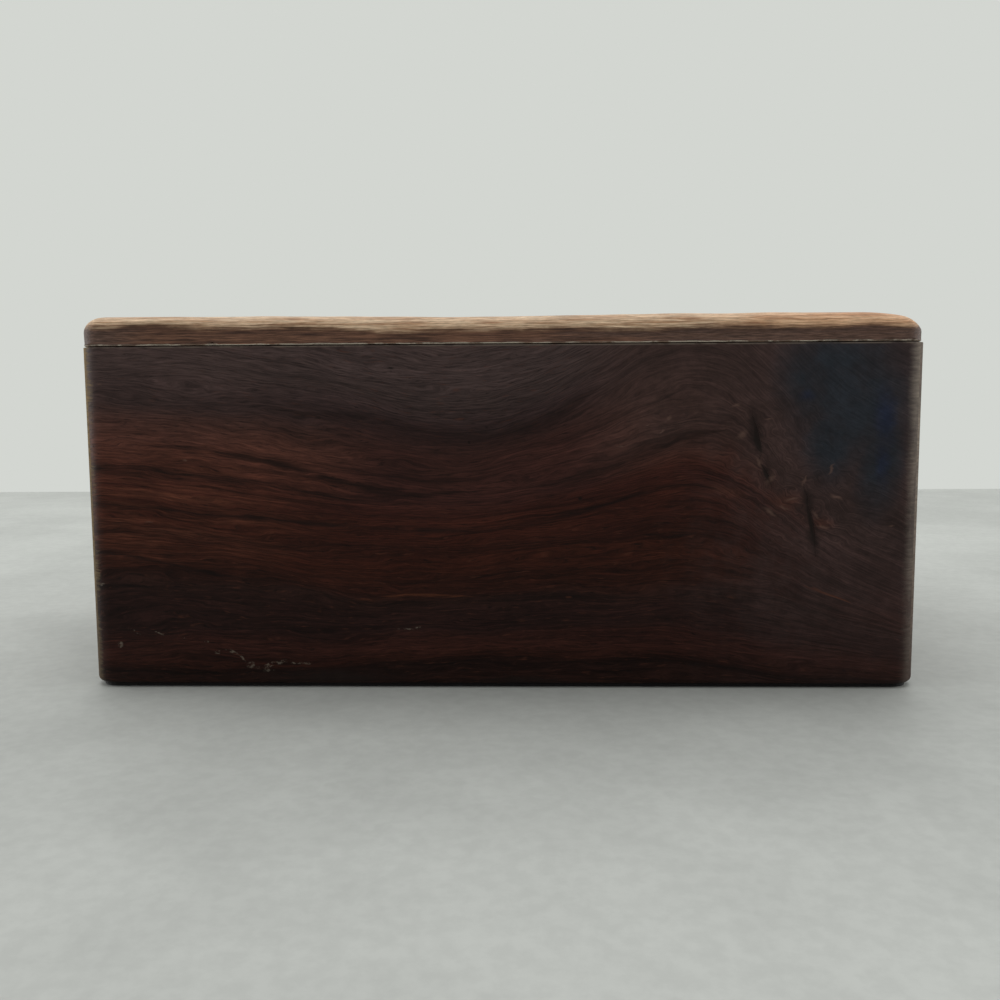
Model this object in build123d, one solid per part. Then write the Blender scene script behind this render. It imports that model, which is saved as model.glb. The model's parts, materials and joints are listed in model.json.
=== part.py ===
from build123d import *
import os
from math import radians, tan

# Trinket box of dark rosewood: four mitred walls, a let-in base and a flush lid on two brass hinges.
# Millimetres, +Z up, the front faces -Y. The origin is the middle of the footprint, on the table.

# Whole box
box_width = 170.0
box_depth = 112.0
box_height = 76.0
seam_z = 70.0
seam_gap = 0.2
wall_thickness = 8.0
corner_radius = 5.0
bottom_ease = 1.0
arris_ease = 0.25

# Base board, the felt under it and the felt on the floor inside
base_thickness = 5.0
base_rebate = 4.0
base_clearance = 0.15
base_felt_thickness = 0.8
base_felt_inset = 1.2
lining_thickness = 1.0
lining_clearance = 0.3
lining_corner = 1.5

# Lid, hand eased: its ends stop short of the walls, and its right end falls away in a long curve
lid_roundover = 3.2
lid_front_setback = 0.1
lid_left_setback = 0.15
lid_right_setback = 0.35
left_end_run = 5.5
left_end_drop = 3.9
right_end_run = 11.0
right_end_drop = 3.3

# Brass butt hinges, let in flush, with the barrel half out of a V along the back of the seam
hinge_spread = 104.0
hinge_length = 25.0
leaf_width = 6.5
leaf_thickness = 1.0
leaf_corner = 0.6
pin_inset = 0.9
pin_radius = 0.75
running_clearance = 0.05
barrel_radius = 1.5
barrel_clearance = 0.15
knuckle_count = 5
knuckle_gap = 0.1
pocket_clearance = 0.05
lid_stop_angle = 106.0

# Countersunk screws, two to a leaf
screw_spacing = 15.0
screw_from_pin = 4.0
screw_head_radius = 1.5
screw_head_depth = 0.75
screw_radius = 0.8
screw_length = 4.6
screw_point = 1.2
screw_slot_width = 0.4
screw_slot_depth = 0.4
screw_hole_clearance = 0.05

# Levels and faces worked out from the dimensions above
barrel_proud = barrel_radius - pin_inset
front_y = -(box_depth + barrel_proud) / 2
back_y = front_y + box_depth
middle_y = (front_y + back_y) / 2
pin_y = back_y - pin_inset
body_bottom = base_felt_thickness
body_top = seam_z - seam_gap / 2
lid_bottom = seam_z + seam_gap / 2
floor_z = body_bottom + base_thickness
left_x = -box_width / 2
right_x = box_width / 2


def rounded_slab(width, depth, radius, bottom, top):
    """Upright block with rounded vertical corners, centred on the walls."""
    outline = Pos(0, middle_y, bottom) * RectangleRounded(width, depth, radius)
    return extrude(outline, amount=top - bottom)


def square_block(width, depth, bottom, top):
    """Upright block with square corners, centred on the walls."""
    outline = Pos(0, middle_y, bottom) * Rectangle(width, depth)
    return extrude(outline, amount=top - bottom)


def edges_at(solid, z):
    """The edges that lie at one level."""
    return solid.edges().filter_by_position(Axis.Z, z, z)


def stop_bevel(side):
    """The wedge cut along the back of the seam, below it (-1) or above it (+1), that stops the lid."""
    reach = 4.0
    rise = reach * tan(radians(lid_stop_angle / 2))
    corners = [(0, 0), (reach, 0), (reach, side * rise)]
    wedge = extrude(Plane.YZ * Polygon(*corners, align=None), amount=box_width, both=True)
    return Pos(0, pin_y, seam_z) * wedge


def screw_envelope():
    """Screw without its slot, standing point down with its head's top at the origin."""
    shank_end = screw_length - screw_point
    profile = Polyline(
        (0, 0),
        (screw_head_radius, 0),
        (screw_radius, -screw_head_depth),
        (screw_radius, -shank_end),
        (0, -screw_length),
        close=True,
    )
    return revolve(Plane.XZ * make_face(profile), Axis.Z)


def screw():
    slot = Box(2 * screw_head_radius + 1, screw_slot_width, 2 * screw_slot_depth)
    return screw_envelope() - slot


def on_leaf(shape, side):
    """Copies of a screw, or of the hole it needs, at both screw places of a leaf at x = 0."""
    placed = shape if side < 0 else Rot(180, 0, 0) * shape
    places = [-screw_spacing / 2, screw_spacing / 2]
    z = seam_z + side * seam_gap / 2
    return [Pos(x, pin_y - screw_from_pin, z) * placed for x in places]


def along_pin(radius, length, x=0.0):
    return Pos(x, pin_y, seam_z) * Rot(0, 90, 0) * Cylinder(radius, length)


def knuckle_places(side):
    """Middles of the knuckles: the lower leaf has the odd ones, the upper leaf those between."""
    pitch = hinge_length / knuckle_count
    first = 0 if side < 0 else 1
    middle = (knuckle_count - 1) / 2
    return [(i - middle) * pitch for i in range(first, knuckle_count, 2)]


def leaf(side):
    """Hinge leaf at x = 0: side -1 is screwed to the wall, +1 to the lid."""
    pitch = hinge_length / knuckle_count
    z = seam_z + side * (seam_gap + leaf_thickness) / 2
    plate = Pos(0, pin_y - leaf_width / 2, z) * Box(hinge_length, leaf_width, leaf_thickness)
    inner_corners = plate.edges().filter_by(Axis.Z).group_by(Axis.Y)[0]
    plate = fillet(inner_corners, leaf_corner)
    for x in knuckle_places(-side):
        plate -= along_pin(barrel_radius + barrel_clearance, pitch + knuckle_gap, x)
    for x in knuckle_places(side):
        plate += along_pin(barrel_radius, pitch - knuckle_gap, x)
    bore = pin_radius if side < 0 else pin_radius + running_clearance
    plate -= along_pin(bore, 2 * hinge_length)
    hole = Cylinder(screw_radius + screw_hole_clearance, 3 * leaf_thickness)
    sink = screw_envelope() + hole
    for cut in on_leaf(sink, side):
        plate -= cut
    return plate


def hinge_pin():
    pin = along_pin(pin_radius, hinge_length)
    return fillet(pin.edges().filter_by(GeomType.CIRCLE), 0.2)


def leaf_pocket(side):
    """What is cut from the wood for one leaf, its half of the barrel and its screws, at x = 0."""
    length = hinge_length + 2 * pocket_clearance
    reach = leaf_width + pocket_clearance + 2 * barrel_radius
    y = pin_y + 2 * barrel_radius - reach / 2
    z = seam_z + side * (seam_gap + leaf_thickness) / 2
    pocket = Pos(0, y, z) * Box(length, reach, leaf_thickness)
    pocket += along_pin(barrel_radius + barrel_clearance, length)
    for cut in on_leaf(screw_envelope(), side):
        pocket += cut
    return pocket


def hinge_places():
    return {"left": -hinge_spread / 2, "right": hinge_spread / 2}


def wall_ring():
    """The four walls in one, before they are parted at the mitres."""
    ring = rounded_slab(box_width, box_depth, corner_radius, body_bottom, body_top)
    ring = fillet(edges_at(ring, body_bottom), bottom_ease)
    ring = fillet(edges_at(ring, body_top), arris_ease)
    inside = 2 * wall_thickness
    ring -= square_block(box_width - inside, box_depth - inside, 0, box_height)
    let_in = 2 * (wall_thickness - base_rebate)
    ring -= square_block(box_width - let_in, box_depth - let_in, 0, floor_z)
    ring -= stop_bevel(-1)
    for x in hinge_places().values():
        ring -= Pos(x, 0, 0) * leaf_pocket(-1)
    return ring


def walls():
    """Front, right, back and left wall, parted on the diagonals of the corners."""
    reach = wall_thickness + corner_radius
    outer = [(left_x, front_y), (right_x, front_y), (right_x, back_y), (left_x, back_y)]
    inner = [
        (left_x + reach, front_y + reach),
        (right_x - reach, front_y + reach),
        (right_x - reach, back_y - reach),
        (left_x + reach, back_y - reach),
    ]
    ring = wall_ring()
    parts = {}
    for i, name in enumerate(["front_wall", "right_wall", "back_wall", "left_wall"]):
        j = (i + 1) % 4
        sector = Polygon(outer[i], outer[j], inner[j], inner[i], align=None)
        parts[name] = ring & extrude(sector, amount=box_height)
    return parts


def base_board():
    let_in = 2 * (wall_thickness - base_rebate + base_clearance)
    return square_block(box_width - let_in, box_depth - let_in, body_bottom, floor_z)


def base_felt():
    inset = 2 * base_felt_inset
    radius = corner_radius - base_felt_inset
    return rounded_slab(box_width - inset, box_depth - inset, radius, 0, base_felt_thickness)


def floor_felt():
    inset = 2 * (wall_thickness + lining_clearance)
    top = floor_z + lining_thickness
    return rounded_slab(box_width - inset, box_depth - inset, lining_corner, floor_z, top)


def lid_front_outline():
    """The lid seen from the front: a short curve at its left end and a long one at its right end."""
    left = left_x + lid_left_setback
    right = right_x - lid_right_setback
    left_shoulder = box_height - left_end_drop
    right_shoulder = box_height - right_end_drop
    left_centre = (left + left_end_run, left_shoulder)
    right_centre = (right - right_end_run, right_shoulder)
    left_arc = EllipticalCenterArc(left_centre, left_end_run, left_end_drop, 90)
    right_arc = EllipticalCenterArc(right_centre, right_end_run, right_end_drop)
    sides = [
        Line((left, left_shoulder), (left, lid_bottom)),
        Line((left, lid_bottom), (right, lid_bottom)),
        Line((right, lid_bottom), (right, right_shoulder)),
        Line((right - right_end_run, box_height), (left + left_end_run, box_height)),
    ]
    return make_face([left_arc, right_arc, *sides])


def lid_board():
    width = box_width - lid_left_setback - lid_right_setback
    depth = box_depth - lid_front_setback
    shift_x = (lid_left_setback - lid_right_setback) / 2
    board = rounded_slab(width, depth, corner_radius, lid_bottom, box_height)
    board = Pos(shift_x, lid_front_setback / 2, 0) * board
    board = fillet(edges_at(board, box_height), lid_roundover)
    board = fillet(edges_at(board, lid_bottom), arris_ease)
    board &= extrude(Plane.XZ * lid_front_outline(), amount=box_depth, both=True)
    board -= stop_bevel(1)
    for x in hinge_places().values():
        board -= Pos(x, 0, 0) * leaf_pocket(1)
    return board


def hinge_parts(name, x):
    place = Pos(x, 0, 0)
    return {
        f"{name}_hinge_wall_leaf": place * leaf(-1),
        f"{name}_hinge_lid_leaf": place * leaf(1),
        f"{name}_hinge_pin": place * hinge_pin(),
        f"{name}_hinge_wall_screws": Compound(children=[place * s for s in on_leaf(screw(), -1)]),
        f"{name}_hinge_lid_screws": Compound(children=[place * s for s in on_leaf(screw(), 1)]),
    }


def main():
    parts = walls()
    parts["base_board"] = base_board()
    parts["base_felt"] = base_felt()
    parts["floor_felt"] = floor_felt()
    parts["lid_board"] = lid_board()
    for name, x in hinge_places().items():
        parts.update(hinge_parts(name, x))
    os.makedirs("parts", exist_ok=True)
    for name, shape in parts.items():
        export_step(shape, f"parts/{name}.step")
    print(f"pin axis at y {pin_y:.3f}, z {seam_z:.3f}; front face at y {front_y:.3f}")


main()
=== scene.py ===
import json
import math

import bmesh
import bpy
from mathutils import Matrix, Vector, noise


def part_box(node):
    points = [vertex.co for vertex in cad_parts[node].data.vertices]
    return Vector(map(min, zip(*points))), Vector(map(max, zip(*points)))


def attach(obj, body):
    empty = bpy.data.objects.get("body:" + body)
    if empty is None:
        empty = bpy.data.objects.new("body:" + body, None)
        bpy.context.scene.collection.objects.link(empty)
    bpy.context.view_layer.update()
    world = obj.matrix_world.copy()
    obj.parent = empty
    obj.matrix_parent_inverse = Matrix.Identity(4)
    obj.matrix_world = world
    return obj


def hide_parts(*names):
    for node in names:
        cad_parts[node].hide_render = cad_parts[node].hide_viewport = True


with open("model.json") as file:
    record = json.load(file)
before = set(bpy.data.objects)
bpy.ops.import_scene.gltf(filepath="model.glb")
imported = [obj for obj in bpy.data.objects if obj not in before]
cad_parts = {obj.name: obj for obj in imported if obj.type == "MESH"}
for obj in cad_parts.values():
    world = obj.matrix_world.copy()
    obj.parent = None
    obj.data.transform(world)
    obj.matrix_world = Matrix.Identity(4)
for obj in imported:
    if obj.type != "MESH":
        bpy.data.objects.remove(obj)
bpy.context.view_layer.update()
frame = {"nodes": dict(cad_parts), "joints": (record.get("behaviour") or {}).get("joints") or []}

mm = 0.001  # the scene is in metres, sizes are written in millimetres
near = 1e-6  # closer than this is the same place

# Places that the frame gives
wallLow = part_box("left_wall")[0].copy()
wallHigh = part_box("right_wall")[1].copy()
wallLow.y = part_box("front_wall")[0].y
wallHigh.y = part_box("back_wall")[1].y
lidLow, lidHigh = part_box("lid_board")
pinPlace = Vector([joint for joint in frame["joints"] if joint["name"] == "lid_hinge"][0]["pos_m"])
hingeSides = ("left", "right")


# Working on pieces

def deselectAll():
    if bpy.context.object and bpy.context.object.mode != "OBJECT":
        bpy.ops.object.mode_set(mode="OBJECT")
    bpy.ops.object.select_all(action="DESELECT")


def makeActive(piece):
    deselectAll()
    piece.select_set(True)
    bpy.context.view_layer.objects.active = piece


def addBlock(name, low, high):
    low, high = Vector(low), Vector(high)
    deselectAll()
    bpy.ops.mesh.primitive_cube_add(size=1, location=(low + high) / 2, scale=high - low)
    piece = bpy.context.object
    piece.name = name
    piece.data.name = name
    bpy.ops.object.transform_apply(location=True, rotation=True, scale=True)
    return piece


def addRod(name, middle, radius, length, sides):
    # a rod that lies along X
    deselectAll()
    turned = (0, math.pi / 2, 0)
    bpy.ops.mesh.primitive_cylinder_add(
        vertices=sides, radius=radius, depth=length, location=middle, rotation=turned
    )
    piece = bpy.context.object
    piece.name = name
    bpy.ops.object.transform_apply(location=True, rotation=True, scale=True)
    return piece


def copyOf(piece, name):
    twin = piece.copy()
    twin.data = piece.data.copy()
    twin.name = name
    twin.data.name = name
    bpy.context.collection.objects.link(twin)
    return twin


def bevelEdges(piece, wanted, width, segments):
    # wanted tests the two ends of an edge
    makeActive(piece)
    bpy.ops.object.mode_set(mode="EDIT")
    bpy.ops.mesh.select_mode(type="EDGE")
    bpy.ops.mesh.select_all(action="DESELECT")
    mesh = bmesh.from_edit_mesh(piece.data)
    for edge in mesh.edges:
        if wanted(edge.verts[0].co, edge.verts[1].co):
            edge.select_set(True)
    bmesh.update_edit_mesh(piece.data)
    bpy.ops.mesh.bevel(offset=width, segments=segments, profile=0.5, affect="EDGES")
    bpy.ops.object.mode_set(mode="OBJECT")


def planeCuts(piece, cuts, trim=True):
    # a cut is a point and a normal, and trimming takes away what lies beyond the plane
    makeActive(piece)
    bpy.ops.object.mode_set(mode="EDIT")
    for point, normal in cuts:
        bpy.ops.mesh.select_all(action="SELECT")
        bpy.ops.mesh.bisect(plane_co=point, plane_no=normal, use_fill=trim, clear_outer=trim)
    bpy.ops.object.mode_set(mode="OBJECT")


def sliceEvery(piece, axis, step, low, high):
    # scores the piece across, so that its surface can be worked
    count = round((high - low) / step)
    normal = Vector([1.0 if axis == i else 0.0 for i in range(3)])
    cuts = [(normal * (low + (high - low) * i / count), normal) for i in range(1, count)]
    planeCuts(piece, cuts, trim=False)


def carve(piece, cutter):
    modifier = piece.modifiers.new("carve", "BOOLEAN")
    modifier.operation = "DIFFERENCE"
    modifier.solver = "EXACT"
    modifier.object = cutter
    makeActive(piece)
    bpy.ops.object.modifier_apply(modifier=modifier.name)
    bpy.data.objects.remove(cutter)


def softenArrises(piece, width, angle):
    modifier = piece.modifiers.new("soften", "BEVEL")
    modifier.width = width
    modifier.segments = 2
    modifier.limit_method = "ANGLE"
    modifier.angle_limit = math.radians(angle)
    makeActive(piece)
    bpy.ops.object.modifier_apply(modifier=modifier.name)


def mergeDoubles(piece, distance=near):
    makeActive(piece)
    bpy.ops.object.mode_set(mode="EDIT")
    bpy.ops.mesh.select_all(action="SELECT")
    bpy.ops.mesh.remove_doubles(threshold=distance)
    bpy.ops.mesh.normals_make_consistent(inside=False)
    bpy.ops.object.mode_set(mode="OBJECT")


def shadeByAngle(piece, angle=30):
    makeActive(piece)
    bpy.ops.object.shade_smooth_by_angle(angle=math.radians(angle))


def dress(piece, material, body, slotName, *nodes):
    piece.data.materials.clear()
    piece.data.materials.append(material)
    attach(piece, body)
    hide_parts(*nodes)


def between(points, x):
    # the height at x of a line of points, straight from one to the next
    for (xa, ya), (xb, yb) in zip(points, points[1:]):
        if x <= xb:
            return ya + (yb - ya) * max(0.0, (x - xa) / (xb - xa))
    return points[-1][1]


# Building materials

def tone(red, green, blue):
    # a colour as it looks on a screen, 0 to 255, made linear
    parts = [part / 255 for part in (red, green, blue)]
    return tuple(p / 12.92 if p < 0.04045 else ((p + 0.055) / 1.055) ** 2.4 for p in parts)


def newMaterial(name):
    material = bpy.data.materials.new(name)
    material.use_nodes = True
    return material, material.node_tree, material.node_tree.nodes["Principled BSDF"]


def addNode(tree, kind, inputs, **settings):
    node = tree.nodes.new("ShaderNode" + kind)
    for key, value in settings.items():
        setattr(node, key, value)
    for key, value in inputs.items():
        if isinstance(value, bpy.types.NodeSocket):
            tree.links.new(value, node.inputs[key])
        else:
            node.inputs[key].default_value = value
    return node


def calc(tree, operation, a, b=0.0):
    return addNode(tree, "Math", {0: a, 1: b}, operation=operation).outputs[0]


def product(tree, *factors):
    total = factors[0]
    for factor in factors[1:]:
        total = calc(tree, "MULTIPLY", total, factor)
    return total


def either(tree, *masks):
    total = masks[0]
    for mask in masks[1:]:
        total = calc(tree, "MAXIMUM", total, mask)
    return total


def ramp(tree, value, low, high, toLow=0.0, toHigh=1.0, smooth=True):
    inputs = {"Value": value, "From Min": low, "From Max": high, "To Min": toLow, "To Max": toHigh}
    kind = "SMOOTHSTEP" if smooth else "LINEAR"
    return addNode(tree, "MapRange", inputs, interpolation_type=kind).outputs[0]


def linear(tree, value, low, high, toLow=0.0, toHigh=1.0):
    return ramp(tree, value, low, high, toLow, toHigh, smooth=False)


def joined(tree, x, y, z=0.0):
    return addNode(tree, "CombineXYZ", {0: x, 1: y, 2: z}).outputs[0]


def noiseAt(tree, place, waves, detail, rough, seed):
    # waves are the lengths of one wave along, across and through the board, in millimetres
    scale = [1 / wave for wave in waves]
    away = (seed * 3.71, seed * 5.13, seed * 1.77)
    inputs = {0: joined(tree, *place), 1: scale, 2: away}
    where = addNode(tree, "VectorMath", inputs, operation="MULTIPLY_ADD").outputs[0]
    inputs = {"Vector": where, "Scale": 1.0, "Detail": detail, "Roughness": rough}
    return addNode(tree, "TexNoise", inputs).outputs["Fac"]


def mixColour(tree, factor, a, b):
    node = addNode(tree, "Mix", {}, data_type="RGBA")
    given = {"Factor_Float": factor, "A_Color": a, "B_Color": b}
    for socket in node.inputs:
        value = given.get(socket.identifier)
        if isinstance(value, bpy.types.NodeSocket):
            tree.links.new(value, socket)
        elif isinstance(value, tuple):
            socket.default_value = (*value, 1.0)
        elif value is not None:
            socket.default_value = value
    return [socket for socket in node.outputs if socket.identifier == "Result_Color"][0]


def mixValue(tree, factor, a, b):
    return addNode(tree, "Mix", {0: factor, 2: a, 3: b}).outputs[0]


def brighten(tree, colour, factor):
    return addNode(tree, "VectorMath", {0: colour, "Scale": factor}, operation="SCALE").outputs[0]


def colourStops(tree, value, stops):
    node = addNode(tree, "ValToRGB", {"Fac": value})
    elements = node.color_ramp.elements
    elements.remove(elements[1])
    elements[0].position = stops[0][0]
    elements[0].color = (*stops[0][1], 1.0)
    for position, colour in stops[1:]:
        elements.new(position).color = (*colour, 1.0)
    return node.outputs["Color"]


def addBump(tree, shader, height, strength, relief):
    bump = addNode(tree, "Bump", {"Height": height, "Strength": strength, "Distance": relief * mm})
    tree.links.new(bump.outputs[0], shader.inputs["Normal"])


def objectPlace(tree, axes="XYZ"):
    # the place on the piece in millimetres, in the order that the board's grain asks for
    coordinates = addNode(tree, "TexCoord", {}).outputs["Object"]
    apart = addNode(tree, "SeparateXYZ", {0: coordinates}).outputs
    return [calc(tree, "MULTIPLY", apart[axis], 1 / mm) for axis in axes]


# Rosewood

figure = {
    "reach": 90.0,  # the guides run from -reach to +reach along the board
    "lift": 20.0,  # room below zero in a guide
    "span": 110.0,
    "widest": 8.0,  # room for the half width of a drawn line
    "thinnest": 0.02,
    "faint": (0.03, 0.25),  # a drawn line fades out between these half widths
}

# How the wood's textures are stretched: the lengths of one wave along, across and through the grain,
# in millimetres, then the detail, the roughness and what is added to the board's own seed
grainTextures = {
    "slow": ((46, 13, 30), 2, 0.5, 0),
    "quick": ((15, 3.2, 12), 3, 0.55, 4),
    "streaks": ((26, 0.8, 9), 4, 0.66, 11),
    "lines": ((44, 1.5, 16), 3, 0.6, 13),
    "fibres": ((4.6, 0.3, 2.2), 4, 0.68, 17),
    "clouds": ((24, 11, 18), 3, 0.5, 23),
    "flecks": ((3.2, 0.36, 1.4), 2, 0.5, 31),
    "pores": ((2.6, 0.2, 0.5), 2, 0.5, 37),
    "raggedAlong": ((2.4, 1.3, 2), 2, 0.6, 41),
    "raggedAcross": ((2.4, 1.3, 2), 2, 0.6, 43),
    "twist": ((11, 9, 14), 3, 0.6, 47),
}

# What the textures do: a range of the texture, then what it gives at both ends of it
grainRanges = {
    "slow": (0.25, 0.75, -1.8, 1.8),  # how far the grain wavers, in millimetres
    "quick": (0.25, 0.75, -0.75, 0.75),
    "drawn": (0.25, 0.75, -0.6, 0.6),  # and a drawn line with it
    "raggedAlong": (0.0, 1.0, -1.0, 1.0),  # how far the edge of a spot strays
    "raggedAcross": (0.0, 1.0, -0.6, 0.6),
    "twist": (0.2, 0.8),
    "streaks": (0.34, 0.66),
    "lines": (0.54, 0.66),
    "fibres": (0.32, 0.68, 0.52, 1.52),
    "clouds": (0.3, 0.7, 0.88, 1.12),
    "pores": (0.6, 0.72),
    "flecks": (0.58, 0.76),
    "rough": (0.25, 0.75),
}

woodFinish = {
    "lineContrast": 1.1,  # times the contrast of the streaks
    "calmOver": 5.0,  # millimetres over which the streaks grow fainter
    "calmest": 0.45,
    "poreStrength": 0.7,
    "fibreHeight": 0.4,
    "bump": 0.5,
}


def guideCurve(tree, along, points, lift=figure["lift"], span=figure["span"]):
    # a smooth line through given points: place along the board, height across it
    reach = figure["reach"]
    share = linear(tree, along, -reach, reach)
    node = addNode(tree, "FloatCurve", {"Value": share})
    places = [((x + reach) / (2 * reach), (height + lift) / span) for x, height in points]
    curve = node.mapping.curves[0]
    curve.points[0].location = places[0]
    curve.points[1].location = places[-1]
    for place in places[1:-1]:
        curve.points.new(*place)
    node.mapping.update()
    raised = calc(tree, "MULTIPLY", node.outputs["Value"], span)
    return calc(tree, "SUBTRACT", raised, lift)


def grainHeight(tree, along, across, guides):
    # across, straightened, so that each guide becomes one level
    level, points = guides[0]
    below = guideCurve(tree, along, points)
    under = calc(tree, "MINIMUM", calc(tree, "SUBTRACT", across, below), 0.0)
    total = calc(tree, "ADD", level, under)
    for nextLevel, nextPoints in guides[1:]:
        above = guideCurve(tree, along, nextPoints)
        rise = linear(tree, across, below, above, 0.0, nextLevel - level)
        total = calc(tree, "ADD", total, rise)
        level, below = nextLevel, above
    over = calc(tree, "MAXIMUM", calc(tree, "SUBTRACT", across, below), 0.0)
    return calc(tree, "ADD", total, over)


def texture(wood, kind, *place):
    waves, detail, rough, shift = kind
    return noiseAt(wood["tree"], place, waves, detail, rough, wood["seed"] + shift)


def spot(wood, place, size, turn, full):
    # a ragged ellipse on the board's face: 1 up to the full share of its size, 0 at its edge
    tree = wood["tree"]
    inputs = {
        "Vector": wood["ragged"],
        "Location": (*place, 0.0),
        "Rotation": (0.0, 0.0, math.radians(turn)),
        "Scale": (*size, 1.0),
    }
    centred = addNode(tree, "Mapping", inputs, vector_type="TEXTURE").outputs[0]
    away = addNode(tree, "VectorMath", {0: centred}, operation="LENGTH").outputs["Value"]
    return ramp(tree, away, full, 1.0, 1.0, 0.0)


def spots(wood, name):
    full = frontMarks["full"][name]
    return either(wood["tree"], *[spot(wood, *mark, full) for mark in frontMarks[name]])


def drawnLine(wood, points, widths):
    # a line that runs with the grain, as thick at each place as widths says
    tree, along = wood["tree"], wood["along"]
    height = guideCurve(tree, along, points)
    away = calc(tree, "ABSOLUTE", calc(tree, "SUBTRACT", wood["waved"], height))
    half = guideCurve(tree, along, widths, 0.0, figure["widest"])
    share = calc(tree, "DIVIDE", away, calc(tree, "MAXIMUM", half, figure["thinnest"]))
    return product(tree, ramp(tree, share, 0.0, 1.0, 1.0, 0.0), ramp(tree, half, *figure["faint"]))


def drawnLines(wood, lines):
    return either(wood["tree"], *[drawnLine(wood, points, widths) for points, widths in lines])


def lay(wood, colour, mask, shade, shading=None):
    # a colour over the wood where the mask says, shaded as the wood round it is
    over = tone(*shade)
    if shading is not None:
        over = brighten(wood["tree"], over, shading)
    return mixColour(wood["tree"], mask, colour, over)


def grainLevel(wood, board):
    # the line of the grain: the listed guides, then a slow and a quick waver
    tree, along, across, deep = wood["tree"], wood["along"], wood["across"], wood["deep"]
    level = grainHeight(tree, along, across, board["guides"])
    slow = texture(wood, grainTextures["slow"], along, level, deep)
    quick = texture(wood, grainTextures["quick"], along, level, deep)
    slowly, quickly = linear(tree, slow, *grainRanges["slow"]), linear(tree, quick, *grainRanges["quick"])
    waver = calc(tree, "ADD", slowly, quickly)
    slanted = calc(tree, "MULTIPLY", wood["inside"], board["slant"])
    level = calc(tree, "ADD", calc(tree, "ADD", level, waver), slanted)
    wood["waved"] = calc(tree, "ADD", across, linear(tree, quick, *grainRanges["drawn"]))
    strayed = []
    for place, kind in ((along, "raggedAlong"), (across, "raggedAcross")):
        ragged = texture(wood, grainTextures[kind], along, across, deep)
        strayed.append(calc(tree, "ADD", place, linear(tree, ragged, *grainRanges[kind])))
    wood["ragged"] = joined(tree, *strayed)
    if "swirl" in board:
        much = board["swirlAmount"]
        twist = texture(wood, grainTextures["twist"], along, across, deep)
        twisted = linear(tree, twist, *grainRanges["twist"], -much, much)
        level = calc(tree, "ADD", level, product(tree, spot(wood, *board["swirl"]), twisted))
    return level


def rosewood(name, board):
    material, tree, shader = newMaterial(name)
    along, across, deep = objectPlace(tree, board["grain"])
    inside = calc(tree, "SUBTRACT", deep, board["face"])
    wood = dict(tree=tree, along=along, across=across, deep=deep, inside=inside, seed=board["seed"])
    level = grainLevel(wood, board)
    wood["level"] = level

    # broad bands of colour
    low, high = board["bandRange"]
    stops = [((height - low) / (high - low), tone(*colour)) for height, colour in board["bands"]]
    colour = colourStops(tree, linear(tree, level, low, high), stops)

    # growth streaks, dark lines, fibres, flecks and pores
    kinds = ("streaks", "lines", "fibres", "flecks", "pores")
    grained = [texture(wood, grainTextures[kind], along, level, deep) for kind in kinds]
    streaks, lines, fibres, flecks, pores = grained
    clouds = texture(wood, grainTextures["clouds"], along, across, deep)
    contrast = board["streaks"]
    streakTone = linear(tree, streaks, *grainRanges["streaks"], 1 - contrast, 1 + contrast)
    lineTone = ramp(tree, lines, *grainRanges["lines"], 1.0, 1 - woodFinish["lineContrast"] * contrast)
    if "calmFrom" in board:
        start = board["calmFrom"]
        calm = ramp(tree, level, start, start + woodFinish["calmOver"], 1.0, woodFinish["calmest"])
        streakTone = calc(tree, "POWER", streakTone, calm)
        lineTone = calc(tree, "POWER", lineTone, calm)
    fibreTone = linear(tree, fibres, *grainRanges["fibres"])
    cloudTone = ramp(tree, clouds, *grainRanges["clouds"])
    wood["grainTone"] = product(tree, streakTone, lineTone, fibreTone, cloudTone)
    colour = brighten(tree, colour, wood["grainTone"])
    fleckMask = product(tree, ramp(tree, flecks, *grainRanges["flecks"]), board["flecks"])
    colour = lay(wood, colour, fleckMask, board["fleckColour"])
    poreMask = ramp(tree, pores, *grainRanges["pores"])
    colour = lay(wood, colour, product(tree, poreMask, woodFinish["poreStrength"]), board["poreColour"])

    roughness = ramp(tree, streaks, *grainRanges["rough"], *board["rough"])
    height = calc(tree, "SUBTRACT", calc(tree, "MULTIPLY", fibres, woodFinish["fibreHeight"]), poreMask)
    if "extras" in board:
        colour, roughness, height = board["extras"](wood, colour, roughness, height)

    tree.links.new(colour, shader.inputs["Base Color"])
    tree.links.new(roughness, shader.inputs["Roughness"])
    shader.inputs["Specular IOR Level"].default_value = board["specular"]
    addBump(tree, shader, height, woodFinish["bump"], board["relief"])
    return material


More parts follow.
